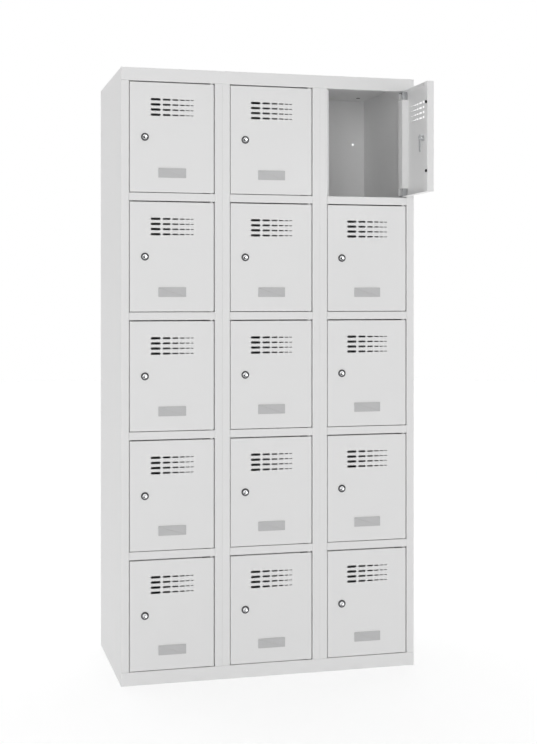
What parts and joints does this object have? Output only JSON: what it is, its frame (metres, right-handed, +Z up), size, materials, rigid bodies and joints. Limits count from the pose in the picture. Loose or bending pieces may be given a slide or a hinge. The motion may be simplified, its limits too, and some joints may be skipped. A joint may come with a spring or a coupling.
{
  "type": "parcel locker",
  "caption": "Floor-standing folded-steel parcel locker with a grid of small lockable compartments, each with a vented pan door on pivot pins, a cam lock and a label holder.",
  "frame": {"origin": "on the floor, in the middle of the box that holds the cabinet and its one open door", "axes": "+Z up, the doors face -Y, +X to the right of a person who faces them"},
  "size_m": [0.9, 0.725, 1.8],
  "materials": {
    "powder_coat": "light grey powder coat with a fine orange-peel texture",
    "zinc": "dull zinc plate",
    "chrome": "bright chrome plate",
    "nylon": "natural nylon",
    "rubber": "matt black rubber"
  },
  "bodies": {
    "carcass": {"side_panel_left": "powder_coat", "side_panel_right": "powder_coat", "back_panel": "powder_coat", "top_panel": "powder_coat", "bottom_panel": "powder_coat", "partition_left": "powder_coat", "partition_right": "powder_coat", "middle_stile_left": "powder_coat", "middle_stile_right": "powder_coat", "shelves_left": "powder_coat", "shelves_middle": "powder_coat", "shelves_right": "powder_coat", "hinge_bushes": "nylon", "hole_plugs": "rubber"},
    "door_c1_r1": {"door_panel_c1_r1": "powder_coat", "door_fittings_c1_r1": "zinc"},
    "lock_c1_r1": {"lock_core_c1_r1": "chrome"},
    "door_c1_r2": {"door_panel_c1_r2": "powder_coat", "door_fittings_c1_r2": "zinc"},
    "lock_c1_r2": {"lock_core_c1_r2": "chrome"},
    "door_c1_r3": {"door_panel_c1_r3": "powder_coat", "door_fittings_c1_r3": "zinc"},
    "lock_c1_r3": {"lock_core_c1_r3": "chrome"},
    "door_c1_r4": {"door_panel_c1_r4": "powder_coat", "door_fittings_c1_r4": "zinc"},
    "lock_c1_r4": {"lock_core_c1_r4": "chrome"},
    "door_c1_r5": {"door_panel_c1_r5": "powder_coat", "door_fittings_c1_r5": "zinc"},
    "lock_c1_r5": {"lock_core_c1_r5": "chrome"},
    "door_c2_r1": {"door_panel_c2_r1": "powder_coat", "door_fittings_c2_r1": "zinc"},
    "lock_c2_r1": {"lock_core_c2_r1": "chrome"},
    "door_c2_r2": {"door_panel_c2_r2": "powder_coat", "door_fittings_c2_r2": "zinc"},
    "lock_c2_r2": {"lock_core_c2_r2": "chrome"},
    "door_c2_r3": {"door_panel_c2_r3": "powder_coat", "door_fittings_c2_r3": "zinc"},
    "lock_c2_r3": {"lock_core_c2_r3": "chrome"},
    "door_c2_r4": {"door_panel_c2_r4": "powder_coat", "door_fittings_c2_r4": "zinc"},
    "lock_c2_r4": {"lock_core_c2_r4": "chrome"},
    "door_c2_r5": {"door_panel_c2_r5": "powder_coat", "door_fittings_c2_r5": "zinc"},
    "lock_c2_r5": {"lock_core_c2_r5": "chrome"},
    "door_c3_r1": {"door_panel_c3_r1": "powder_coat", "door_fittings_c3_r1": "zinc"},
    "lock_c3_r1": {"lock_core_c3_r1": "chrome"},
    "door_c3_r2": {"door_panel_c3_r2": "powder_coat", "door_fittings_c3_r2": "zinc"},
    "lock_c3_r2": {"lock_core_c3_r2": "chrome"},
    "door_c3_r3": {"door_panel_c3_r3": "powder_coat", "door_fittings_c3_r3": "zinc"},
    "lock_c3_r3": {"lock_core_c3_r3": "chrome"},
    "door_c3_r4": {"door_panel_c3_r4": "powder_coat", "door_fittings_c3_r4": "zinc"},
    "lock_c3_r4": {"lock_core_c3_r4": "chrome"},
    "door_c3_r5": {"door_panel_c3_r5": "powder_coat", "door_fittings_c3_r5": "zinc"},
    "lock_c3_r5": {"lock_core_c3_r5": "chrome"}
  },
  "joints": [
    {"name": "door_c1_r1_hinge", "type": "hinge", "parent": "carcass", "child": "door_c1_r1", "pos_m": [-0.18225, -0.1195, 0.20225], "axis": [0, 0, 1], "range_deg": [0, 95]},
    {"name": "lock_c1_r1_turn", "type": "hinge", "parent": "door_c1_r1", "child": "lock_c1_r1", "pos_m": [-0.381, -0.1275, 0.20225], "axis": [0, 1, 0], "range_deg": [0, 90]},
    {"name": "door_c1_r2_hinge", "type": "hinge", "parent": "carcass", "child": "door_c1_r2", "pos_m": [-0.18225, -0.1195, 0.55125], "axis": [0, 0, 1], "range_deg": [0, 95]},
    {"name": "lock_c1_r2_turn", "type": "hinge", "parent": "door_c1_r2", "child": "lock_c1_r2", "pos_m": [-0.381, -0.1275, 0.55125], "axis": [0, 1, 0], "range_deg": [0, 90]},
    {"name": "door_c1_r3_hinge", "type": "hinge", "parent": "carcass", "child": "door_c1_r3", "pos_m": [-0.18225, -0.1195, 0.90025], "axis": [0, 0, 1], "range_deg": [0, 95]},
    {"name": "lock_c1_r3_turn", "type": "hinge", "parent": "door_c1_r3", "child": "lock_c1_r3", "pos_m": [-0.381, -0.1275, 0.90025], "axis": [0, 1, 0], "range_deg": [0, 90]},
    {"name": "door_c1_r4_hinge", "type": "hinge", "parent": "carcass", "child": "door_c1_r4", "pos_m": [-0.18225, -0.1195, 1.24925], "axis": [0, 0, 1], "range_deg": [0, 95]},
    {"name": "lock_c1_r4_turn", "type": "hinge", "parent": "door_c1_r4", "child": "lock_c1_r4", "pos_m": [-0.381, -0.1275, 1.24925], "axis": [0, 1, 0], "range_deg": [0, 90]},
    {"name": "door_c1_r5_hinge", "type": "hinge", "parent": "carcass", "child": "door_c1_r5", "pos_m": [-0.18225, -0.1195, 1.59825], "axis": [0, 0, 1], "range_deg": [0, 95]},
    {"name": "lock_c1_r5_turn", "type": "hinge", "parent": "door_c1_r5", "child": "lock_c1_r5", "pos_m": [-0.381, -0.1275, 1.59825], "axis": [0, 1, 0], "range_deg": [0, 90]},
    {"name": "door_c2_r1_hinge", "type": "hinge", "parent": "carcass", "child": "door_c2_r1", "pos_m": [0.11775, -0.1195, 0.20225], "axis": [0, 0, 1], "range_deg": [0, 95]},
    {"name": "lock_c2_r1_turn", "type": "hinge", "parent": "door_c2_r1", "child": "lock_c2_r1", "pos_m": [-0.081, -0.1275, 0.20225], "axis": [0, 1, 0], "range_deg": [0, 90]},
    {"name": "door_c2_r2_hinge", "type": "hinge", "parent": "carcass", "child": "door_c2_r2", "pos_m": [0.11775, -0.1195, 0.55125], "axis": [0, 0, 1], "range_deg": [0, 95]},
    {"name": "lock_c2_r2_turn", "type": "hinge", "parent": "door_c2_r2", "child": "lock_c2_r2", "pos_m": [-0.081, -0.1275, 0.55125], "axis": [0, 1, 0], "range_deg": [0, 90]},
    {"name": "door_c2_r3_hinge", "type": "hinge", "parent": "carcass", "child": "door_c2_r3", "pos_m": [0.11775, -0.1195, 0.90025], "axis": [0, 0, 1], "range_deg": [0, 95]},
    {"name": "lock_c2_r3_turn", "type": "hinge", "parent": "door_c2_r3", "child": "lock_c2_r3", "pos_m": [-0.081, -0.1275, 0.90025], "axis": [0, 1, 0], "range_deg": [0, 90]},
    {"name": "door_c2_r4_hinge", "type": "hinge", "parent": "carcass", "child": "door_c2_r4", "pos_m": [0.11775, -0.1195, 1.24925], "axis": [0, 0, 1], "range_deg": [0, 95]},
    {"name": "lock_c2_r4_turn", "type": "hinge", "parent": "door_c2_r4", "child": "lock_c2_r4", "pos_m": [-0.081, -0.1275, 1.24925], "axis": [0, 1, 0], "range_deg": [0, 90]},
    {"name": "door_c2_r5_hinge", "type": "hinge", "parent": "carcass", "child": "door_c2_r5", "pos_m": [0.11775, -0.1195, 1.59825], "axis": [0, 0, 1], "range_deg": [0, 95]},
    {"name": "lock_c2_r5_turn", "type": "hinge", "parent": "door_c2_r5", "child": "lock_c2_r5", "pos_m": [-0.081, -0.1275, 1.59825], "axis": [0, 1, 0], "range_deg": [0, 90]},
    {"name": "door_c3_r1_hinge", "type": "hinge", "parent": "carcass", "child": "door_c3_r1", "pos_m": [0.41775, -0.1195, 0.20225], "axis": [0, 0, 1], "range_deg": [0, 95]},
    {"name": "lock_c3_r1_turn", "type": "hinge", "parent": "door_c3_r1", "child": "lock_c3_r1", "pos_m": [0.219, -0.1275, 0.20225], "axis": [0, 1, 0], "range_deg": [0, 90]},
    {"name": "door_c3_r2_hinge", "type": "hinge", "parent": "carcass", "child": "door_c3_r2", "pos_m": [0.41775, -0.1195, 0.55125], "axis": [0, 0, 1], "range_deg": [0, 95]},
    {"name": "lock_c3_r2_turn", "type": "hinge", "parent": "door_c3_r2", "child": "lock_c3_r2", "pos_m": [0.219, -0.1275, 0.55125], "axis": [0, 1, 0], "range_deg": [0, 90]},
    {"name": "door_c3_r3_hinge", "type": "hinge", "parent": "carcass", "child": "door_c3_r3", "pos_m": [0.41775, -0.1195, 0.90025], "axis": [0, 0, 1], "range_deg": [0, 95]},
    {"name": "lock_c3_r3_turn", "type": "hinge", "parent": "door_c3_r3", "child": "lock_c3_r3", "pos_m": [0.219, -0.1275, 0.90025], "axis": [0, 1, 0], "range_deg": [0, 90]},
    {"name": "door_c3_r4_hinge", "type": "hinge", "parent": "carcass", "child": "door_c3_r4", "pos_m": [0.41775, -0.1195, 1.24925], "axis": [0, 0, 1], "range_deg": [0, 95]},
    {"name": "lock_c3_r4_turn", "type": "hinge", "parent": "door_c3_r4", "child": "lock_c3_r4", "pos_m": [0.219, -0.1275, 1.24925], "axis": [0, 1, 0], "range_deg": [0, 90]},
    {"name": "door_c3_r5_hinge", "type": "hinge", "parent": "carcass", "child": "door_c3_r5", "pos_m": [0.41775, -0.1195, 1.59825], "axis": [0, 0, 1], "range_deg": [-90, 5]},
    {"name": "lock_c3_r5_turn", "type": "hinge", "parent": "door_c3_r5", "child": "lock_c3_r5", "pos_m": [0.42575, -0.31825, 1.59825], "axis": [-1, 0, 0], "range_deg": [0, 90]}
  ]
}
